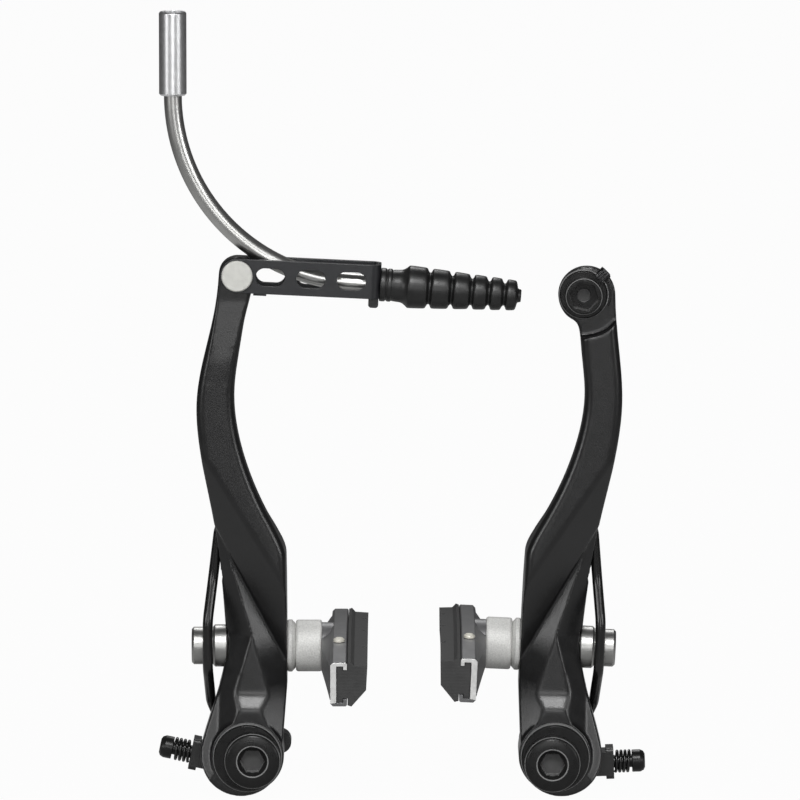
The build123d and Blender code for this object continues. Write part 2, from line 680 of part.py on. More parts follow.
def make_link():
    half = LINK_GAP / 2 + LINK_SHEET
    bend = 2.2
    h = LINK_H / 2
    plan = make_face(Polyline((0, -half), (LINK_LENGTH, -half), (LINK_LENGTH, half), (0, half), close=True))
    plan = fillet(plan.vertices().sort_by(Axis.X)[-2:], bend)
    inside = make_face(Polyline(
        (-1, LINK_SHEET - half), (LINK_LENGTH - LINK_SHEET, LINK_SHEET - half),
        (LINK_LENGTH - LINK_SHEET, half - LINK_SHEET), (-1, half - LINK_SHEET), close=True,
    ))
    inside = fillet(inside.vertices().sort_by(Axis.X)[-2:], bend - LINK_SHEET)
    strip = extrude(Plane.XY.offset(-h) * (plan - inside), LINK_H)
    for side in (-1, 1):
        eye = extrude(Plane.XZ.offset(half - LINK_SHEET if side < 0 else -half) * Circle(h), LINK_SHEET)
        strip += eye
    link = strip - extrude(Plane.XZ.offset(-FAR / 2) * Circle(LINK_PIN_D / 2 + RUN_FIT), FAR)
    for i in range(3):
        window = Pos(SLOT_FIRST + i * SLOT_PITCH, 0) * SlotOverall(SLOT_L, SLOT_W)
        link -= extrude(Plane.XZ.offset(-FAR / 2) * window, FAR)

    # end tab, and the stop lug below the rear cheek
    tab = Pos(LINK_LENGTH - 1.5, 0, -h - 1.1) * Box(2.3, 3.4, 2.4)
    link += fillet(tab.edges().filter_by(Axis.Y).sort_by(Axis.Z)[:2], 0.7)
    link += Pos(LINK_LENGTH - LINK_SHEET / 2 - 0.2, 0, -h) * Box(LINK_SHEET - 0.4, 3.4, 1.2)
    lug = Pos(SLOT_FIRST - 2.3, half - LINK_SHEET / 2, -h - 0.5) * Box(3.0, LINK_SHEET, 1.6)
    link += lug

    # keyhole for the pipe, open at the top for the cable
    pipe = Pos(LINK_LENGTH, 0, -PIPE_DROP) * Rot(0, PIPE_TILT - LINK_TILT, 0)
    hole = Rot(0, 90, 0) * Cylinder(PIPE_D / 2 + RUN_FIT, 4 * LINK_SHEET)
    link -= pipe * hole
    link -= Pos(LINK_LENGTH, 0, h) * Box(4 * LINK_SHEET, 2.2, LINK_H - 2 * PIPE_DROP)
    return link_place() * link


def make_link_pin():
    half = LINK_GAP / 2 + LINK_SHEET + BODY_GAP
    r = LINK_PIN_D / 2
    face = LINK_PIN_FACE_D / 2
    front = CABLE_DEPTH + half
    back = CABLE_DEPTH - half
    return turned([
        (0, back - LINK_PIN_FACE_T), (face - 0.6, back - LINK_PIN_FACE_T), (face - 0.6, back), (r, back),
        (r, front), (face, front), (face, front + LINK_PIN_FACE_T - 0.25),
        (face - 0.25, front + LINK_PIN_FACE_T), (0, front + LINK_PIN_FACE_T),
    ], PIN_U, PIN_V)


def pipe_place():
    """From the pipe's own frame, end wall at the origin and tip along X, to the left arm's frame."""
    return link_place() * Pos(LINK_LENGTH, 0, -PIPE_DROP) * Rot(0, PIPE_TILT - LINK_TILT, 0)


def pipe_path(tip):
    """Straight tip, one long bend and a short straight up into the ferrule."""
    sweep_angle = math.radians(90 - PIPE_TILT)
    r = PIPE_BEND_R
    bend_end = Vector(-PIPE_STRAIGHT, 0, 0)
    bend_start = bend_end + Vector(-r * math.sin(sweep_angle), 0, r * (1 - math.cos(sweep_angle)))
    up = Vector(-math.cos(sweep_angle), 0, math.sin(sweep_angle))
    top = bend_start + up * (FERRULE_LENGTH - SOCKET_DEPTH)
    straight = Line((tip, 0, 0), bend_end)
    bend = TangentArc(bend_end, bend_start, tangent=(-1, 0, 0))
    return [straight, bend, Line(bend_start, top)], bend_start, up


def make_pipe():
    edges, _, _ = pipe_path(PIPE_TIP)
    return pipe_place() * (rod_along(edges, PIPE_D) - rod_along(edges, PIPE_BORE))


def make_ferrule():
    _, foot, up = pipe_path(PIPE_TIP)
    r = FERRULE_D / 2
    neck = PIPE_D / 2 + SLIP_FIT
    floor = FERRULE_LENGTH - SOCKET_DEPTH
    socket = SOCKET_D / 2
    profile = make_face(Polyline(
        (neck, 0), (r - 0.4, 0), (r, 0.4), (r, FERRULE_LENGTH - 0.4), (r - 0.3, FERRULE_LENGTH),
        (socket, FERRULE_LENGTH), (socket, floor + 0.02), (PIPE_BORE / 2, floor + 0.02),
        (PIPE_BORE / 2, floor), (neck, floor), close=True,
    ))
    body = revolve(Plane.XZ * profile, Axis.Z)
    standing = Plane(origin=foot, x_dir=(0, 1, 0), z_dir=up) * body
    return pipe_place() * standing


def make_collar():
    back = -LINK_SHEET - BODY_GAP - COLLAR_T
    ring = Plane.YZ.offset(back) * (Circle(COLLAR_D / 2) - Circle(PIPE_D / 2 + SLIP_FIT))
    body = extrude(ring, COLLAR_T)
    return pipe_place() * chamfer(body.edges().filter_by(GeomType.CIRCLE).sort_by(SortBy.RADIUS)[-2:], 0.3)


def make_boot():
    """Rubber bellows: ringed neck, folds that shrink towards the nose, and a small nose."""
    start = BODY_GAP
    neck = BOOT_NECK_D / 2
    outer = [
        (start, neck - 0.5), (start + 0.3, neck + 0.1), (start + 1.5, neck + 0.1), (start + 1.7, neck - 0.5),
        (start + 2.1, neck - 0.5), (start + 2.3, neck - 0.05), (start + 4.7, neck - 0.05),
    ]
    left = start + 5.9
    shares = [1.0 - 0.11 * i for i in range(BOOT_FOLDS)]
    unit = (BOOT_LENGTH - left - 1.4) / sum(shares)
    folds = []
    for i, share in enumerate(shares):
        big = (BOOT_FIRST_D + (BOOT_LAST_D - BOOT_FIRST_D) * (i / (BOOT_FOLDS - 1)) ** 0.85) / 2
        width = unit * share
        folds.append((left, width, big))
        outer.append((left, big))
        outer.append((left + width * 0.72, big))
        if i < BOOT_FOLDS - 1:
            outer.append((left + width * 0.84, big - 1.45))
        left += width
    nose = BOOT_NOSE_D / 2
    end = start + BOOT_LENGTH
    outer += [(end - 1.3, nose + 0.2), (end - 1.1, nose), (end - 0.2, nose), (end, nose - 0.3)]
    bore = PIPE_D / 2 + SLIP_FIT
    hollow = [(end, CABLE_HOLE_D / 2), (end - 2.4, CABLE_HOLE_D / 2)]
    last_big = folds[-1][2] - 1.45 - BOOT_WALL * 0.5
    hollow += [(end - 3.2, last_big), (start + 8.0, bore + 0.3), (start + 6.5, bore), (start, bore)]
    profile = make_face(Polyline(*(outer + hollow), close=True))
    return pipe_place() * revolve(Plane.XZ * profile, Axis.X)


# Cable clamp


def make_clamp_washer():
    back = CABLE_DEPTH
    front = back + CLAMP_WASHER_T
    r = CLAMP_WASHER_D / 2
    washer = turned([
        (0, back), (r, back), (r, front - 0.4), (r - 0.4, front), (0, front),
    ], CLAMP_U, CLAMP_V)
    # raised guide on the outer side, and the hook that keeps the cable's end
    guide = disc(CLAMP_U, CLAMP_V, CLAMP_WASHER_D + 1.3, back, front + 0.5)
    guide -= disc(CLAMP_U, CLAMP_V, CLAMP_WASHER_D - 0.5, back, front + 1)
    guide &= prism(Pos(CLAMP_U - r, CLAMP_V + 1.4) * Rectangle(2 * r * 0.65, 7.4), back, front + 1)
    washer += guide
    hook = Pos(CLAMP_U - 4.35, -(back + front + 0.8) / 2, CLAMP_V + 4.45) * Rot(0, 45, 0)
    washer += hook * Box(2.2, front + 0.8 - back, 2.2)
    return washer - disc(CLAMP_U, CLAMP_V, CLAMP_SHANK_D + 2 * SLIP_FIT, 0, FAR)


def make_clamp_bolt():
    back = CABLE_DEPTH + CLAMP_WASHER_T
    front = back + CLAMP_HEAD_H
    r = CLAMP_HEAD_BOLT_D / 2
    shank = CLAMP_SHANK_D / 2
    tip = CABLE_DEPTH - CLAMP_BOSS_T - 0.8
    bolt = turned([
        (0, tip), (shank - 0.6, tip), (shank, tip + 0.6), (shank, back), (r, back), (r, front - 0.5),
        (r - 0.4, front), (0, front),
    ], CLAMP_U, CLAMP_V)
    bolt -= prism(Pos(CLAMP_U, CLAMP_V) * Rot(0, 0, 10) * hexagon(CLAMP_HEX), front - 3.2, front + 1)
    return bolt - disc(CLAMP_U, CLAMP_V, 3.1, front - 3.9, front)


# Assembly


def place(side, shape, leaning):
    """From the left-hand drawing to the part's frame."""
    if side == "right":
        shape = mirror(shape, Plane.YZ)
    lean = ARM_LEAN[side] if leaning else 0.0
    sign = -1 if side == "left" else 1
    return Pos(sign * PIVOT_SPACING / 2, 0, 0) * Rot(0, sign * lean, 0) * shape


def build():
    parts = {}
    for side in ("left", "right"):
        parts[f"{side}_arm"] = place(side, make_arm(side), True)
        parts[f"{side}_pivot_sleeve"] = place(side, make_sleeve(), False)
        parts[f"{side}_pivot_bolt"] = place(side, make_pivot_bolt(side), False)
        parts[f"{side}_spring_seat"] = place(side, make_spring_seat(side), False)
        parts[f"{side}_tension_screw"] = place(side, make_tension_screw(side), False)
        parts[f"{side}_screw_coil"] = place(side, make_screw_coil(side), False)
        parts[f"{side}_return_spring"] = place(side, make_return_spring(), True)
        parts[f"{side}_dome_washer"] = place(side, make_dome_washer(), True)
        parts[f"{side}_spacer"] = place(side, make_spacer(), True)
        parts[f"{side}_nut_washer"] = place(side, make_nut_washer(), True)
        parts[f"{side}_pad_nut"] = place(side, make_nut(), True)
        parts[f"{side}_pad_post"] = place(side, make_post(), True)
        parts[f"{side}_pad_holder"] = place(side, make_pad_holder(), True)
        parts[f"{side}_pad_insert"] = place(side, make_pad_insert(), True)
        parts[f"{side}_pad_pin"] = place(side, make_pad_pin(), True)
    parts["link_pin"] = place("left", make_link_pin(), True)
    parts["cable_link"] = place("left", make_link(), True)
    parts["guide_pipe"] = place("left", make_pipe(), True)
    parts["pipe_ferrule"] = place("left", make_ferrule(), True)
    parts["pipe_collar"] = place("left", make_collar(), True)
    parts["cable_boot"] = place("left", make_boot(), True)
    parts["clamp_washer"] = place("right", make_clamp_washer(), True)
    parts["clamp_bolt"] = place("right", make_clamp_bolt(), True)
    return parts


if __name__ == "__main__":
    os.makedirs("parts", exist_ok=True)
    for node, shape in build().items():
        export_step(shape, f"parts/{node}.step")
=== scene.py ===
# %% [markdown]
# A linear-pull rim brake lies ready as measured solids: two forged arms, their pads, springs and bolts,
# the cable link and its bent pipe. This lesson dresses those solids. What a solid cannot show is made
# here by hand: the softened edges of a forging, the moulded bellows and every surface finish. The
# solids keep their place, so a new piece is always made where the old one was.

# %% Load the measured brake
import json
import math

import bpy
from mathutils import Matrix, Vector

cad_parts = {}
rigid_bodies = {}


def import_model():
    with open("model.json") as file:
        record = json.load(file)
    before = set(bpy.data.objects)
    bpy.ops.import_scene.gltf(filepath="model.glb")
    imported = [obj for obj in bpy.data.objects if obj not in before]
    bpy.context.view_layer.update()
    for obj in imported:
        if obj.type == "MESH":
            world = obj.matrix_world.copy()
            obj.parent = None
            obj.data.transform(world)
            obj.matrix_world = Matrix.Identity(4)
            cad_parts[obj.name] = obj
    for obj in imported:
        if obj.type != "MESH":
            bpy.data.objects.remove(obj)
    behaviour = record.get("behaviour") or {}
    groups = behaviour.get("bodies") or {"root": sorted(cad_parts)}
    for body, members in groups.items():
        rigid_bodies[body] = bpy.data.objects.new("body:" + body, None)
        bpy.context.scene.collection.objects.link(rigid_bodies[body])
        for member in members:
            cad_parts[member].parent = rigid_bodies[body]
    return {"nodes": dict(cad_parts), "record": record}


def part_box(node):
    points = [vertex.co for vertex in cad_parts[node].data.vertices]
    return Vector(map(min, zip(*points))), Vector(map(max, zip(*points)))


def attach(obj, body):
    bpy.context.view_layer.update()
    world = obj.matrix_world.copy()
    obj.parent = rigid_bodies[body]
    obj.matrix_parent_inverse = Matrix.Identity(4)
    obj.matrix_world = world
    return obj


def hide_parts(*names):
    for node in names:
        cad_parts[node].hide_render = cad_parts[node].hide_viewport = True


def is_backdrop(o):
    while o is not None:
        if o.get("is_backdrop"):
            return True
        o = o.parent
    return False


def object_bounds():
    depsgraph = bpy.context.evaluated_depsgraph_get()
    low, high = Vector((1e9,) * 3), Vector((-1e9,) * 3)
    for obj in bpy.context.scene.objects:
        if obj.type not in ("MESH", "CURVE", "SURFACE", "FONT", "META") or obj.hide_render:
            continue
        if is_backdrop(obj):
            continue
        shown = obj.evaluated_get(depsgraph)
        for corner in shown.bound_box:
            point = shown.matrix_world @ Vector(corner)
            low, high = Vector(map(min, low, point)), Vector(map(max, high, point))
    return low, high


bpy.ops.object.select_all(action="SELECT")
bpy.ops.object.delete()
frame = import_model()
cad_low, cad_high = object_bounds()
MM = 0.001
print("brake size in mm:", [round((b - a) / MM, 1) for a, b in zip(cad_low, cad_high)])

# %% [markdown]
# The photographer stood far back with a long lens and looked down a little. A long lens keeps the two
# arms the same size. The lens follows from the scale: so many pixels for a millimetre at the brake's
# middle.

# %% Camera
IMAGE_PIXELS = 800
PIXELS_PER_MM = 4.35
CAMERA_DISTANCE = 2.0
CAMERA_RISE = math.radians(7.7)
SENSOR_MM = 36.0
AIM = Vector((-0.3, -20.0, 82.76)) * MM

back_off = Vector((0, -math.cos(CAMERA_RISE), math.sin(CAMERA_RISE))) * CAMERA_DISTANCE
bpy.ops.object.camera_add(location=AIM + back_off)
camera = bpy.context.object
camera.rotation_euler = (-back_off).to_track_quat("-Z", "Y").to_euler()
camera.data.sensor_width = SENSOR_MM
camera.data.lens = PIXELS_PER_MM / MM * CAMERA_DISTANCE * SENSOR_MM / IMAGE_PIXELS
camera.data.clip_end = 100
bpy.context.scene.camera = camera
bpy.context.scene.view_settings.view_transform = "Standard"
print("lens:", round(camera.data.lens, 1), "mm")

# %% [markdown]
# The floor is a wide pale disc just below the brake. To the camera it is almost plain white, with a
# small share of real diffuse grey left in, so that a soft shadow still shows where the brake stands.
# Glossy pieces see that white as well, but only near the brake, like a pool of light: the far floor
# would turn every black side grey.

# %% Floor
FLOOR_GAP = 0.4 * MM
FLOOR_RADIUS = 14.0
FLOOR_SHADOW = 0.03
FLOOR_GREY = 0.25
POOL_WHITE = 0.35
POOL_NEAR = 0.12
POOL_FAR = 0.5

bpy.ops.object.select_all(action="DESELECT")
bpy.ops.mesh.primitive_circle_add(vertices=96, radius=FLOOR_RADIUS, fill_type="NGON")
floor = bpy.context.object
floor.name = "studio_floor"
bpy.ops.object.mode_set(mode="EDIT")
bpy.ops.mesh.select_all(action="SELECT")
bpy.ops.transform.translate(value=(0, 0, cad_low.z - FLOOR_GAP))
bpy.ops.object.mode_set(mode="OBJECT")
floor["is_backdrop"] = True


def white_for_sight(tree, camera_share, mirror_share):
    """Nodes that give how white a ray sees this: much for the camera, a little for glossy pieces."""
    path = tree.nodes.new("ShaderNodeLightPath")
    seen = tree.nodes.new("ShaderNodeMath")
    seen.operation = "MULTIPLY"
    seen.inputs[1].default_value = camera_share
    mirrored = tree.nodes.new("ShaderNodeMath")
    mirrored.operation = "MULTIPLY_ADD"
    tree.links.new(mirror_share, mirrored.inputs[1])
    through = tree.nodes.new("ShaderNodeMath")
    through.operation = "ADD"
    through.use_clamp = True
    tree.links.new(path.outputs["Is Camera Ray"], seen.inputs[0])
    tree.links.new(path.outputs["Is Glossy Ray"], mirrored.inputs[0])
    tree.links.new(seen.outputs[0], mirrored.inputs[2])
    tree.links.new(mirrored.outputs[0], through.inputs[0])
    tree.links.new(path.outputs["Is Transmission Ray"], through.inputs[1])
    return through.outputs[0]


floor_paint = bpy.data.materials.new("pale_floor")
floor_paint.use_nodes = True
tree = floor_paint.node_tree
tree.nodes.clear()
output = tree.nodes.new("ShaderNodeOutputMaterial")
diffuse = tree.nodes.new("ShaderNodeBsdfDiffuse")
diffuse.inputs["Color"].default_value = (FLOOR_GREY, FLOOR_GREY, FLOOR_GREY, 1)
white = tree.nodes.new("ShaderNodeEmission")
white.inputs["Strength"].default_value = 1.0
mix = tree.nodes.new("ShaderNodeMixShader")
place = tree.nodes.new("ShaderNodeTexCoord")
reach = tree.nodes.new("ShaderNodeVectorMath")
reach.operation = "LENGTH"
pool = tree.nodes.new("ShaderNodeMapRange")
pool.interpolation_type = "SMOOTHSTEP"
pool.inputs["From Min"].default_value = POOL_NEAR
pool.inputs["From Max"].default_value = POOL_FAR
pool.inputs["To Min"].default_value = POOL_WHITE
pool.inputs["To Max"].default_value = 0
tree.links.new(place.outputs["Object"], reach.inputs[0])
tree.links.new(reach.outputs["Value"], pool.inputs["Value"])
tree.links.new(white_for_sight(tree, 1 - FLOOR_SHADOW, pool.outputs[0]), mix.inputs["Fac"])
tree.links.new(diffuse.outputs[0], mix.inputs[1])
tree.links.new(white.outputs[0], mix.inputs[2])
tree.links.new(mix.outputs[0], output.inputs["Surface"])
floor.data.materials.append(floor_paint)
print("floor at", round((cad_low.z - FLOOR_GAP) / MM, 2), "mm")

# %% [markdown]
# The room is white to the camera, while it lights the brake with very little. Black metal needs that:
# it is drawn by the few bright things that it mirrors, and a bright room all round would turn it grey.

# %% World
ROOM_LIGHT = 0.06
ROOM_SHINE = 0.02

world = bpy.data.worlds.new("studio_room")
bpy.context.scene.world = world
world.use_nodes = True
tree = world.node_tree
tree.nodes.clear()
output = tree.nodes.new("ShaderNodeOutputWorld")
room = tree.nodes.new("ShaderNodeBackground")
room.inputs["Color"].default_value = (1, 1, 1, 1)
room.inputs["Strength"].default_value = ROOM_LIGHT
seen = tree.nodes.new("ShaderNodeBackground")
seen.inputs["Color"].default_value = (1, 1, 1, 1)
seen.inputs["Strength"].default_value = 1.0
mix = tree.nodes.new("ShaderNodeMixShader")
tone = tree.nodes.new("ShaderNodeValue")
tone.outputs[0].default_value = ROOM_SHINE
tree.links.new(white_for_sight(tree, 1.0, tone.outputs[0]), mix.inputs["Fac"])
tree.links.new(room.outputs[0], mix.inputs[1])
tree.links.new(seen.outputs[0], mix.inputs[2])
tree.links.new(mix.outputs[0], output.inputs["Surface"])
print("room light", ROOM_LIGHT)

# %% [markdown]
# Product photographers light black metal with soft boxes and let it mirror them. One stands low behind
# the camera for the flat fronts, a hot one hangs high in front for the coves, one stands far out at
# each side for the wedges, and weaker ones fill in between and light the tops from behind. A soft box
# is given by where it stands, in degrees round and above the brake, and by how brightly it glows,
# because that is what a mirror shows.

# %% Soft boxes
BOX_DISTANCE = 2.2
BOX_SIZE = 0.6
BOX_AIM = Vector((0, 0, 0.08))
SOFT_BOXES = (
    # name, degrees round, degrees up, glow
    ("front", 0, 8, 5.6),
    ("high", 0, 42, 28.0),
    ("left", -50, 10, 7.0),
    ("right", 50, 10, 7.0),
    ("left_fill", -30, 22, 4.0),
    ("right_fill", 30, 22, 4.0),
    ("back", 180, 45, 8.0),
)
for name, round_deg, up_deg, glow in SOFT_BOXES:
    turn, rise = math.radians(round_deg), math.radians(up_deg)
    towards = Vector((math.cos(rise) * math.sin(turn), -math.cos(rise) * math.cos(turn), math.sin(rise)))
    lamp_data = bpy.data.lights.new(name, "AREA")
    lamp_data.shape = "SQUARE"
    lamp_data.size = BOX_SIZE
    lamp_data.energy = glow * math.pi * BOX_SIZE ** 2
    lamp = bpy.data.objects.new(name, lamp_data)
    bpy.context.collection.objects.link(lamp)
    lamp.location = BOX_AIM + towards * BOX_DISTANCE
    lamp.rotation_euler = (-towards).to_track_quat("-Z", "Y").to_euler()
    print("soft box", name, round(lamp_data.energy, 1), "W")

# %% [markdown]
# Every finish starts the same way: a Principled shader whose colour, roughness and relief come from
# noise in the piece's own coordinates. A helper lays those nodes down, and each finish then only says
# how coarse the grain is and how far the colour and roughness wander. No real edge is razor sharp, so a
# Bevel node turns the normals over the last tenths of a millimetre at each edge, and the edges catch
# the light.

# %% A grained finish
CLOUD_GRAINS = 8
CLOUD_DETAIL = 6
TINT_FROM, TINT_TO = 0.3, 0.7
GRAIN_DETAIL = 2
GRAIN_STRENGTH = 0.6
EDGE_SAMPLES = 6


def grained(name, dark, light, rough, grain_mm, relief_mm, metallic=0.0, specular=0.5, edge_mm=0.2):
    """A material with noise in its colour, roughness and relief. Sizes are in millimetres."""
    material = bpy.data.materials.new(name)
    material.use_nodes = True
    nodes, links = material.node_tree.nodes, material.node_tree.links
    shader = nodes["Principled BSDF"]
    shader.inputs["Metallic"].default_value = metallic
    shader.inputs["Specular IOR Level"].default_value = specular
    place = nodes.new("ShaderNodeTexCoord")

    cloud = nodes.new("ShaderNodeTexNoise")
    cloud.inputs["Scale"].default_value = 1 / (CLOUD_GRAINS * grain_mm * MM)
    cloud.inputs["Detail"].default_value = CLOUD_DETAIL
    links.new(place.outputs["Object"], cloud.inputs["Vector"])
    tint = nodes.new("ShaderNodeValToRGB")
    tint.color_ramp.elements[0].position = TINT_FROM
    tint.color_ramp.elements[0].color = (*dark, 1)
    tint.color_ramp.elements[1].position = TINT_TO
    tint.color_ramp.elements[1].color = (*light, 1)
    links.new(cloud.outputs["Fac"], tint.inputs["Fac"])
    links.new(tint.outputs["Color"], shader.inputs["Base Color"])
    spread = nodes.new("ShaderNodeMapRange")
    spread.inputs["To Min"].default_value = rough[0]
    spread.inputs["To Max"].default_value = rough[1]
    links.new(cloud.outputs["Fac"], spread.inputs["Value"])
    links.new(spread.outputs[0], shader.inputs["Roughness"])

    grain = nodes.new("ShaderNodeTexNoise")
    grain.inputs["Scale"].default_value = 1 / (grain_mm * MM)
    grain.inputs["Detail"].default_value = GRAIN_DETAIL
    links.new(place.outputs["Object"], grain.inputs["Vector"])
    relief = nodes.new("ShaderNodeBump")
    relief.name = "relief"
    relief.inputs["Strength"].default_value = GRAIN_STRENGTH
    relief.inputs["Distance"].default_value = relief_mm * MM
    links.new(grain.outputs["Fac"], relief.inputs["Height"])
    if edge_mm:
        edge = nodes.new("ShaderNodeBevel")
        edge.samples = EDGE_SAMPLES
        edge.inputs["Radius"].default_value = edge_mm * MM
        links.new(edge.outputs[0], relief.inputs["Normal"])
    links.new(relief.outputs[0], shader.inputs["Normal"])
    return material


# %% [markdown]
# Turned steel carries fine marks of the cutting tool: rings on a face, bands along a shank. A wave
# texture draws both. Its pattern is centred on the piece by a Mapping node and goes into a second bump
# under the grain.

# %% Turning marks
WAVE_PERIOD = math.pi / 10
MARK_DETAIL = 2
MARK_STRENGTH = 0.7


def tool_marks(material, kind, axis, pitch_mm, depth_mm, centre_mm=(0, 0, 0), wander=0.0):
    """Add rings about an axis or bands along it to a grained material."""
    nodes, links = material.node_tree.nodes, material.node_tree.links
    place = nodes.new("ShaderNodeTexCoord")
    mapping = nodes.new("ShaderNodeMapping")
    mapping.inputs["Location"].default_value = [-c * MM for c in centre_mm]
    links.new(place.outputs["Object"], mapping.inputs["Vector"])
    wave = nodes.new("ShaderNodeTexWave")
    wave.wave_type = kind
    if kind == "RINGS":
        wave.rings_direction = axis
    else:
        wave.bands_direction = axis
    wave.inputs["Scale"].default_value = WAVE_PERIOD / (pitch_mm * MM)
    wave.inputs["Distortion"].default_value = wander
    wave.inputs["Detail"].default_value = MARK_DETAIL
    links.new(mapping.outputs[0], wave.inputs["Vector"])
    marks = nodes.new("ShaderNodeBump")
    marks.inputs["Strength"].default_value = MARK_STRENGTH
    marks.inputs["Distance"].default_value = depth_mm * MM
    links.new(wave.outputs["Fac"], marks.inputs["Height"])
    relief = nodes["relief"]
    for link in list(relief.inputs["Normal"].links):
        links.new(link.from_socket, marks.inputs["Normal"])
    links.new(marks.outputs[0], relief.inputs["Normal"])


# %% [markdown]
# The rounded rims of a turned piece catch a thin line of light: at the rim of a flange, a bolt head or
# a socket. A helper measures the distance from the piece's axis and mixes a lighter colour in along a
# thin ring, which is a painted highlight.

# %% Painted rim highlights
RIM_CORE = 0.3


def lighten(material, mask, colour):
    """Mix a lighter colour into a grained material where the mask says so."""
    nodes, links = material.node_tree.nodes, material.node_tree.links
    shader = nodes["Principled BSDF"]
    mix = nodes.new("ShaderNodeMix")
    mix.data_type = "RGBA"
    mix.inputs["B"].default_value = (*colour, 1)
    links.new(shader.inputs["Base Color"].links[0].from_socket, mix.inputs["A"])
    links.new(mask, mix.inputs["Factor"])
    links.new(mix.outputs["Result"], shader.inputs["Base Color"])


def painted_rim_highlight(material, centre_mm, radius_mm, width_mm, colour):
    """Lighten a thin ring about an axis along Y: a painted highlight."""
    nodes, links = material.node_tree.nodes, material.node_tree.links
    place = nodes.new("ShaderNodeTexCoord")
    mapping = nodes.new("ShaderNodeMapping")
    mapping.inputs["Location"].default_value = [-c * MM for c in centre_mm]
    flatten = nodes.new("ShaderNodeVectorMath")
    flatten.operation = "MULTIPLY"
    flatten.inputs[1].default_value = (1, 0, 1)
    reach = nodes.new("ShaderNodeVectorMath")
    reach.operation = "LENGTH"
    off = nodes.new("ShaderNodeMath")
    off.operation = "SUBTRACT"
    off.inputs[1].default_value = radius_mm * MM
    size = nodes.new("ShaderNodeMath")
    size.operation = "ABSOLUTE"
    ring = nodes.new("ShaderNodeMapRange")
    ring.interpolation_type = "SMOOTHSTEP"
    ring.inputs["From Min"].default_value = width_mm * MM
    ring.inputs["From Max"].default_value = width_mm * MM * RIM_CORE
    links.new(place.outputs["Object"], mapping.inputs["Vector"])
    links.new(mapping.outputs[0], flatten.inputs[0])
    links.new(flatten.outputs[0], reach.inputs[0])
    links.new(reach.outputs["Value"], off.inputs[0])
    links.new(off.outputs[0], size.inputs[0])
    links.new(size.outputs[0], ring.inputs["Value"])
    lighten(material, ring.outputs[0], colour)


# %% [markdown]
# The list of finishes: satin black on the forgings, black oxide on bolts and flanges, glossy lacquer on
# spring wire, blasted alloy on the spacers, bright turned steel on nuts and pipe, and rubber on pads
# and boot.

# %% Finishes
def grey(value):
    return (value, value, value)


OXIDE_DARK, OXIDE_LIGHT = grey(0.006), grey(0.009)
OXIDE_SPECULAR = 0.25
finishes = {
    "arm_black": grained(
        "forged_black", (0.0048, 0.0048, 0.005), (0.0072, 0.0072, 0.0075), rough=(0.26, 0.34),
        grain_mm=0.35, relief_mm=0.03, edge_mm=0),
    "steel_black": grained(
        "black_oxide", OXIDE_DARK, OXIDE_LIGHT, rough=(0.26, 0.36),
        grain_mm=0.2, relief_mm=0.004, specular=OXIDE_SPECULAR),
    "spring_black": grained(
        "lacquered_wire", grey(0.004), grey(0.006), rough=(0.18, 0.24), grain_mm=0.4, relief_mm=0.001),
    "seat_black": grained(
        "seat_black", grey(0.005), grey(0.008), rough=(0.34, 0.44), grain_mm=0.3, relief_mm=0.008),
    "link_black": grained(
        "link_black", (0.0085, 0.009, 0.0105), (0.0125, 0.013, 0.015), rough=(0.28, 0.38),
        grain_mm=0.25, relief_mm=0.006),
    "pin_grey": grained(
        "pin_grey", (0.49, 0.49, 0.462), (0.57, 0.57, 0.537), rough=(0.5, 0.62),
        grain_mm=0.2, relief_mm=0.01),
    "spacer_silver": grained(
        "blasted", (0.5, 0.5, 0.487), (0.68, 0.68, 0.66), rough=(0.5, 0.65),
        grain_mm=0.04, relief_mm=0.012, metallic=0.15),
    "nut_silver": grained(
        "turned_steel", (0.3, 0.3, 0.293), (0.38, 0.38, 0.37), rough=(0.34, 0.42),
        grain_mm=0.3, relief_mm=0.0008, metallic=1.0),
    "holder_grey": grained(
        "holder_grey", (0.11, 0.11, 0.113), (0.15, 0.15, 0.153), rough=(0.36, 0.46),
        grain_mm=0.25, relief_mm=0.008, metallic=0.3),
    "pad_rubber": grained(
        "pad_rubber", grey(0.028), grey(0.04), rough=(0.65, 0.8), grain_mm=0.3, relief_mm=0.03),
    "boot_rubber": grained(
        "boot_rubber", grey(0.005), grey(0.009), rough=(0.34, 0.46), grain_mm=0.35, relief_mm=0.015),
    "pipe_steel": grained(
        "drawn_steel", (0.5, 0.5, 0.485), (0.58, 0.58, 0.565), rough=(0.27, 0.33),
        grain_mm=0.5, relief_mm=0.0004, metallic=1.0),
    "ferrule_pale": grained(
        "ferrule_pale", (0.8, 0.805, 0.815), (0.9, 0.905, 0.915), rough=(0.28, 0.34),
        grain_mm=0.2, relief_mm=0.001, metallic=1.0),
}
tool_marks(finishes["nut_silver"], "BANDS", "X", pitch_mm=0.35, depth_mm=0.0005, wander=1.5)
tool_marks(finishes["pad_rubber"], "BANDS", "Z", pitch_mm=0.75, depth_mm=0.018, wander=2.0)
slot_of = {row["node"]: row["material_slot"] for row in frame["record"]["subparts"]}
for node, obj in frame["nodes"].items():
    obj.data.materials.clear()
    obj.data.materials.append(finishes[slot_of[node]])
print("finished nodes:", len(slot_of))

# %% [markdown]
# The pin that keeps each rubber insert in its holder is pale metal, and its colour is set bright so it
# gives the small warm spot in the grey wall, partly a painted highlight. It shares a finish slot with
# other pieces, so it is repainted after the list has been handed out.

# %% Pale pad pins with a painted highlight
# pale metal colour, set bright for a painted highlight spot
pale_pin_paint = grained(
    "pale_pin_painted_highlight", (0.62, 0.6, 0.53), (0.74, 0.72, 0.64), rough=(0.34, 0.44),
    grain_mm=0.2, relief_mm=0.003, metallic=0.3)
for side in ("left", "right"):
    frame["nodes"][f"{side}_pad_pin"].data.materials[0] = pale_pin_paint
print("plated:", pale_pin_paint.name)
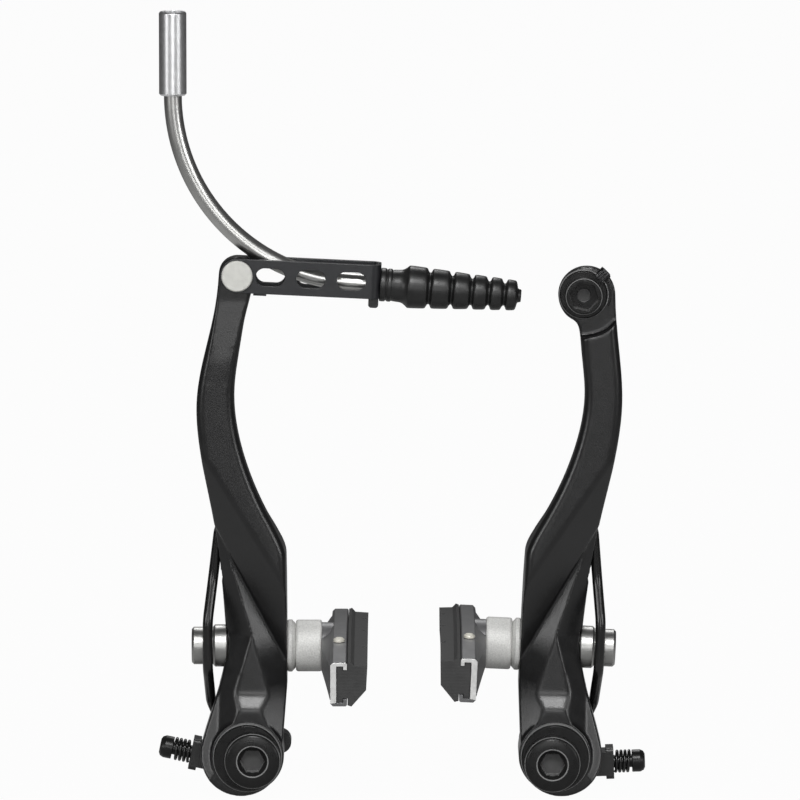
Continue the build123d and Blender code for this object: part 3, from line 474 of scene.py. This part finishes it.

# %% [markdown]
# Bolts and flanges were turned on a lathe, and on a dark face the rings show as faint lines. Each piece
# has its own centre, so each gets its own copy of the black oxide, with the rings and the painted rim
# highlights drawn about that centre.

# %% Turned faces
# grey of the painted highlight along the rounded rims
RIM_HIGHLIGHT_GREY = grey(0.2)
RING_PITCH, RING_DEPTH, RING_WANDER = 0.55, 0.004, 0.6
TURNED_FACES = {
    # centre in mm
    "left_pivot_bolt": (-34.32, 0, -0.21),
    "right_pivot_bolt": (34.83, 0, -0.99),
    "left_pivot_sleeve": (-35.5, 0, 0),
    "right_pivot_sleeve": (35.5, 0, 0),
    "clamp_bolt": (41.75, 0, 107.83),
    "clamp_washer": (41.75, 0, 107.83),
}
RIM_HIGHLIGHTS = {
    # radius and half width in mm
    "left_pivot_bolt": ((3.6, 0.2), (6.35, 0.1)),
    "right_pivot_bolt": ((3.6, 0.2), (6.35, 0.1)),
    "left_pivot_sleeve": ((7.9, 0.14),),
    "right_pivot_sleeve": ((7.9, 0.14),),
    "clamp_bolt": ((4.1, 0.12),),
    "clamp_washer": ((5.6, 0.12),),
}
for node, centre in TURNED_FACES.items():
    oxide = grained(
        f"{node}_oxide", OXIDE_DARK, OXIDE_LIGHT, rough=(0.24, 0.32),
        grain_mm=0.2, relief_mm=0.003, specular=OXIDE_SPECULAR)
    tool_marks(oxide, "RINGS", "Y", RING_PITCH, RING_DEPTH, centre, RING_WANDER)
    # a painted highlight along each rounded rim
    for radius, width in RIM_HIGHLIGHTS[node]:
        painted_rim_highlight(oxide, centre, radius, width, RIM_HIGHLIGHT_GREY)
    frame["nodes"][node].data.materials[0] = oxide
print("turned faces:", len(TURNED_FACES))

# %% [markdown]
# A measured solid is never changed. What needs work is copied first, and the copy then stands for the
# solid. The solids come as loose triangles, so a copy is also welded. These helpers do the steps that
# come back often.

# %% Copies to work on
WELD = 0.002 * MM


def only(piece):
    """Make one piece the only selected and active one."""
    bpy.ops.object.select_all(action="DESELECT")
    piece.select_set(True)
    bpy.context.view_layer.objects.active = piece


def welded_copy(node, name):
    """A copy of a measured solid with its loose triangles joined."""
    piece = bpy.data.objects.new(name, frame["nodes"][node].data.copy())
    bpy.context.collection.objects.link(piece)
    only(piece)
    bpy.ops.mesh.customdata_custom_splitnormals_clear()
    bpy.ops.object.mode_set(mode="EDIT")
    bpy.ops.mesh.select_all(action="SELECT")
    bpy.ops.mesh.remove_doubles(threshold=WELD)
    bpy.ops.object.mode_set(mode="OBJECT")
    return piece


def apply_modifiers(piece):
    """Turn a piece's modifiers into real mesh, in their order."""
    only(piece)
    for modifier in list(piece.modifiers):
        bpy.ops.object.modifier_apply(modifier=modifier.name)


def fit(piece, node):
    """Let a piece stand for a measured solid: same body, and the solid hidden."""
    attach(piece, body_of[node])
    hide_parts(node)


bodies = frame["record"]["behaviour"]["bodies"]
body_of = {node: body for body, members in bodies.items() for node in members}
print("bodies:", sorted(set(body_of.values())))

# %% [markdown]
# The arms are forgings: no edge on them is sharp. A copy of each gets an even skin of small faces by a
# voxel remesh and is then smoothed, which rounds every edge by a few tenths of a millimetre. A Bevel
# modifier would be the usual choice, but these solids meet in too many odd corners for it.

# %% Soft edges
SKIN = 0.3 * MM
SOFT_PASSES = 5
SMOOTH_STEP = 0.5

soft = {}
for node in ("left_arm", "right_arm"):
    piece = welded_copy(node, f"soft_{node}")
    skin = piece.modifiers.new("even_skin", "REMESH")
    skin.mode = "VOXEL"
    skin.voxel_size = SKIN
    soften = piece.modifiers.new("soft_edges", "SMOOTH")
    soften.factor = SMOOTH_STEP
    soften.iterations = SOFT_PASSES
    apply_modifiers(piece)
    bpy.ops.object.shade_smooth()
    fit(piece, node)
    soft[node] = piece
    print(piece.name, len(piece.data.polygons), "faces")

# %% [markdown]
# Above the pivot the forging sweeps forwards in a hollow cove. The measured solid has three flat faces
# there. By hand one would brush over them with the smooth tool. Here the vertices in that place are
# selected and smoothed some more, which melts the flats into one curve.

# %% Cove above each pivot
PIVOT_X = 35.5
COVE_LOW_Z, COVE_HIGH_Z = 9.6, 19.0
COVE_FRONT_Y = -19.0
COVE_OUT, COVE_IN = -5.0, 6.5
COVE_PASSES = 12


def smooth_patch(piece, wanted, passes):
    """Smooth the vertices that pass a test and leave the rest alone."""
    only(piece)
    bpy.context.tool_settings.mesh_select_mode = (True, False, False)
    bpy.ops.object.mode_set(mode="EDIT")
    bpy.ops.mesh.select_all(action="DESELECT")
    bpy.ops.object.mode_set(mode="OBJECT")
    for vertex in piece.data.vertices:
        vertex.select = wanted(vertex)
    count = sum(vertex.select for vertex in piece.data.vertices)
    bpy.ops.object.mode_set(mode="EDIT")
    bpy.ops.mesh.vertices_smooth(factor=SMOOTH_STEP, repeat=passes)
    bpy.ops.object.mode_set(mode="OBJECT")
    return count


def in_cove(vertex, inward):
    """Whether a vertex lies in the cove of the arm whose inner side is towards +X (1) or -X (-1)."""
    x, y, z = (c / MM for c in vertex.co)
    reach = inward * (x + inward * PIVOT_X)
    return COVE_OUT < reach < COVE_IN and COVE_LOW_Z < z < COVE_HIGH_Z and y < COVE_FRONT_Y


for side, inward in (("left", 1), ("right", -1)):
    count = smooth_patch(soft[f"{side}_arm"], lambda vertex: in_cove(vertex, inward), COVE_PASSES)
    print(side, "cove:", count, "vertices smoothed")

# %% [markdown]
# Below the left head the flat front of the arm starts to lean. On the forging that bend is gentle, so
# the front vertices close to it are smoothed some more. Only those that look forwards are taken, and
# the edges stay.

# %% Bend below the left head
BEND_LOW_Z, BEND_HIGH_Z = 87.0, 96.0
LOOKS_FORWARD = -0.97
BEND_PASSES = 40


def at_bend(vertex):
    return BEND_LOW_Z < vertex.co.z / MM < BEND_HIGH_Z and vertex.normal.y < LOOKS_FORWARD


print("bend:", smooth_patch(soft["left_arm"], at_bend, BEND_PASSES), "vertices smoothed")

# %% [markdown]
# The rubber boot is a moulded bellows: a ringed neck, six folds that shrink towards the nose, and a
# small hole for the cable. It could be spun from a profile, but growing it ring by ring from a circle
# is just as quick and keeps the rings where the photograph has them. A Subdivision Surface modifier
# rounds the moulded edges. The foot is pressed a little way into the end wall of the link, as soft
# rubber would be, so that no gap shows there.

# %% Bellows boot
BOOT_FOOT = Vector((-4.729, -23.5, 109.951)) * MM
BOOT_AXIS = Vector((0.99664, 0, -0.08194))
BOOT_SIDES = 40
BOOT_FOLDS = (
    # left end, right end, diameter at the left, at the right, all in mm
    (6.2, 10.6, 9.9, 9.5),
    (11.75, 15.7, 9.25, 8.85),
    (16.85, 20.3, 8.65, 8.15),
    (21.4, 24.25, 8.1, 7.75),
    (25.4, 27.8, 7.65, 7.35),
    (28.95, 31.1, 7.2, 6.9),
)
BOOT_VALLEYS = (7.2, 6.5, 6.0, 5.4, 5.0)
BOOT_NECK = (
    # distance from the foot, diameter in mm
    (-0.15, 7.3), (-0.08, 7.6), (0.05, 7.75), (1.0, 7.75), (1.15, 7.6), (1.35, 6.9), (1.55, 7.5),
    (1.7, 7.65), (2.3, 7.65), (2.45, 7.5), (2.65, 7.0), (2.85, 7.35), (4.4, 7.45), (5.2, 7.7),
)
BOOT_NOSE = (
    (31.3, 5.2), (31.4, 3.6), (31.6, 3.05), (32.2, 3.0),
    (32.28, 2.6), (32.3, 1.9), (32.0, 1.6), (30.5, 1.6),
)
ROUND = 0.2
GROOVE = 0.25
FLANK, SHOULDER = 0.06, 0.1


def fold_rings(left, right, wide, narrow):
    """The rings of one fold: flank, rounded shoulder and crown, then the other shoulder and flank."""
    return [
        (left - FLANK, wide - 3 * ROUND),
        (left + SHOULDER, wide - 0.8 * ROUND),
        (left + 2 * ROUND, wide),
        ((left + right) / 2, (wide + narrow) / 2),
        (right - 1.6 * ROUND, narrow),
        (right - FLANK, narrow - 1.4 * ROUND),
    ]


rings = list(BOOT_NECK)
for i, fold in enumerate(BOOT_FOLDS):
    if i:
        middle = (BOOT_FOLDS[i - 1][1] + fold[0]) / 2
        rings += [(middle - GROOVE, BOOT_VALLEYS[i - 1]), (middle + GROOVE, BOOT_VALLEYS[i - 1])]
    rings += fold_rings(*fold)
rings += BOOT_NOSE

bpy.ops.object.select_all(action="DESELECT")
bpy.ops.mesh.primitive_circle_add(vertices=BOOT_SIDES, radius=rings[0][1] / 2 * MM)
boot = bpy.context.object
boot.name = "bellows_boot"
bpy.ops.object.mode_set(mode="EDIT")
bpy.ops.mesh.select_all(action="SELECT")
bpy.ops.mesh.edge_face_add()
bpy.ops.mesh.select_all(action="SELECT")
along, across = rings[0]
for next_along, next_across in rings[1:]:
    bpy.ops.mesh.extrude_region_move(TRANSFORM_OT_translate={"value": (0, 0, (next_along - along) * MM)})
    bpy.ops.transform.resize(value=(next_across / across, next_across / across, 1))
    along, across = next_along, next_across
bpy.ops.mesh.select_all(action="SELECT")
bpy.ops.mesh.normals_make_consistent(inside=False)
bpy.ops.object.mode_set(mode="OBJECT")
boot.rotation_euler = BOOT_AXIS.to_track_quat("Z", "Y").to_euler()
boot.location = BOOT_FOOT + BOOT_AXIS * rings[0][0] * MM
bpy.ops.object.transform_apply(location=True, rotation=True, scale=True)
moulded = boot.modifiers.new("moulded", "SUBSURF")
moulded.levels = 1
moulded.render_levels = 1
apply_modifiers(boot)
bpy.ops.object.shade_smooth()
boot.data.materials.append(finishes["boot_rubber"])
fit(boot, "cable_boot")
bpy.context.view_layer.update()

# %% [markdown]
# The pad holder is an extruded channel that was sawn to length, so its ends are bare metal while its
# sides are grey. A copy gets a second material, and the faces that look straight out of the ends are
# given to it.

# %% Sawn ends of the pad holders
SHARP = math.radians(30)
END_DEPTH = 1.0 * MM
STRAIGHT_ON = 0.9

sawn = grained(
    "sawn_metal", (0.62, 0.62, 0.61), (0.8, 0.8, 0.79), rough=(0.3, 0.4),
    grain_mm=0.15, relief_mm=0.01, metallic=0.4)


def give_faces(piece, material, belongs):
    """Give the faces that pass a test to a further material of the piece."""
    piece.data.materials.append(material)
    for face in piece.data.polygons:
        face.select = belongs(face)
    count = sum(face.select for face in piece.data.polygons)
    only(piece)
    piece.active_material_index = len(piece.data.materials) - 1
    bpy.context.tool_settings.mesh_select_mode = (False, False, True)
    bpy.ops.object.mode_set(mode="EDIT")
    bpy.ops.object.material_slot_assign()
    bpy.ops.object.mode_set(mode="OBJECT")
    return count


for side in ("left", "right"):
    holder = welded_copy(f"{side}_pad_holder", f"{side}_sawn_holder")
    low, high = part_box(f"{side}_pad_holder")
    ends = (low[1] + END_DEPTH, high[1] - END_DEPTH)
    count = give_faces(
        holder, sawn, lambda f: abs(f.normal.y) > STRAIGHT_ON and not ends[0] < f.center.y < ends[1])
    bpy.ops.object.shade_smooth_by_angle(angle=SHARP)
    fit(holder, f"{side}_pad_holder")
    print(holder.name, count, "sawn faces")

# %% [markdown]
# The bolts have hexagon sockets. Their walls are painted a lighter grey, a painted highlight for the
# light they catch, and the floor, or the drill's round mark in it, is a little brighter than the
# blackened head. Those are faces of their own on the solids, so a copy of each bolt only needs them
# repainted. They are found by how far they lie from the bolt's axis and behind its front.

# %% Sockets of the bolts
SOCKET_MOUTH = 0.95
SOCKET_DEEPEST = 4.5
# socket walls: a lighter grey, a painted highlight
socket_wall_highlight = grained(
    "painted_socket_highlight", grey(0.1), grey(0.17), rough=(0.28, 0.36), grain_mm=0.2, relief_mm=0.004)
drilled = grained(
    "drilled_steel", grey(0.035), grey(0.05), rough=(0.36, 0.46), grain_mm=0.2, relief_mm=0.006)
SOCKETS = {
    # node: widest reach of the walls, reach of the mark, depth of the mark in mm
    "left_pivot_bolt": (2.95, 2.95, 2.5),
    "right_pivot_bolt": (2.95, 2.95, 2.5),
    "clamp_bolt": (3.55, 1.7, 3.5),
}


def deep_in(node, reach_mm, depth_mm, faces_front):
    """A test for faces inside a bolt's socket: its walls, or the floor that faces the front."""
    axis = TURNED_FACES[node]
    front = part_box(node)[0][1]

    def test(face):
        away = math.hypot(face.center.x - axis[0] * MM, face.center.z - axis[2] * MM)
        deep = depth_mm * MM < face.center.y - front < SOCKET_DEEPEST * MM
        return away < reach_mm * MM and deep and (face.normal.y < -STRAIGHT_ON) == faces_front

    return test


for node, (wall_reach, mark_reach, mark_depth) in SOCKETS.items():
    bolt = welded_copy(node, f"socket_{node}")
    # the walls get the painted highlight, the floor the drill mark
    walls = give_faces(bolt, socket_wall_highlight, deep_in(node, wall_reach, SOCKET_MOUTH, False))
    marks = give_faces(bolt, drilled, deep_in(node, mark_reach, mark_depth, True))
    bpy.ops.object.shade_smooth_by_angle(angle=SHARP)
    fit(bolt, node)
    print(bolt.name, walls, "wall faces,", marks, "floor faces")

# %% [markdown]
# The clamp washer carries a small hook with ribs that keeps the cable's end from fraying out. It starts
# as a cube, is divided into strips, and every second strip is raised to make the ribs.

# %% Ribbed hook on the clamp washer
HOOK_PLACE = Vector((46.05, -25.0, 112.35)) * MM
HOOK_SIZE = [2.24 * MM, 2.7 * MM, 2.24 * MM]
HOOK_TURN = math.radians(45)
HOOK_CUTS = 6
RIB = 0.18 * MM
HOOK_ROUND = 0.05 * MM
HOOK_SEGMENTS = 2

dulled = grained(
    "bare_hook", (0.02, 0.02, 0.021), (0.04, 0.04, 0.042), rough=(0.24, 0.32),
    grain_mm=0.15, relief_mm=0.003, metallic=0.3)
bpy.ops.object.select_all(action="DESELECT")
bpy.ops.mesh.primitive_cube_add(size=1, scale=HOOK_SIZE)
hook = bpy.context.object
hook.name = "ribbed_hook"
bpy.ops.object.transform_apply(location=False, rotation=False, scale=True)
bpy.ops.object.mode_set(mode="EDIT")
bpy.ops.mesh.select_all(action="SELECT")
bpy.ops.mesh.subdivide(number_cuts=HOOK_CUTS)
bpy.ops.object.mode_set(mode="OBJECT")
strip = HOOK_SIZE[0] / (HOOK_CUTS + 1)
for face in hook.data.polygons:
    number = int((face.center.x + HOOK_SIZE[0] / 2) / strip)
    looks_along = abs(face.normal.x) > 0.5
    face.select = number % 2 == 1 and not looks_along
bpy.ops.object.mode_set(mode="EDIT")
bpy.ops.mesh.extrude_region_shrink_fatten(TRANSFORM_OT_shrink_fatten={"value": RIB})
bpy.ops.object.mode_set(mode="OBJECT")
hook.rotation_euler = (0, HOOK_TURN, 0)
hook.location = HOOK_PLACE
bpy.ops.object.transform_apply(location=True, rotation=True, scale=True)
round_off = hook.modifiers.new("rounded", "BEVEL")
round_off.width = HOOK_ROUND
round_off.segments = HOOK_SEGMENTS
apply_modifiers(hook)
bpy.ops.object.shade_smooth_by_angle(angle=SHARP)
hook.data.materials.append(dulled)
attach(hook, body_of["clamp_washer"])
print("hook:", len(hook.data.polygons), "faces")

# %% [markdown]
# Dressing must not make the brake larger than its solids. Both boxes are written down, so they can be
# compared.

# %% Sizes for the record
low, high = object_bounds()
print("visual size in mm:", [round((b - a) / MM, 1) for a, b in zip(low, high)])
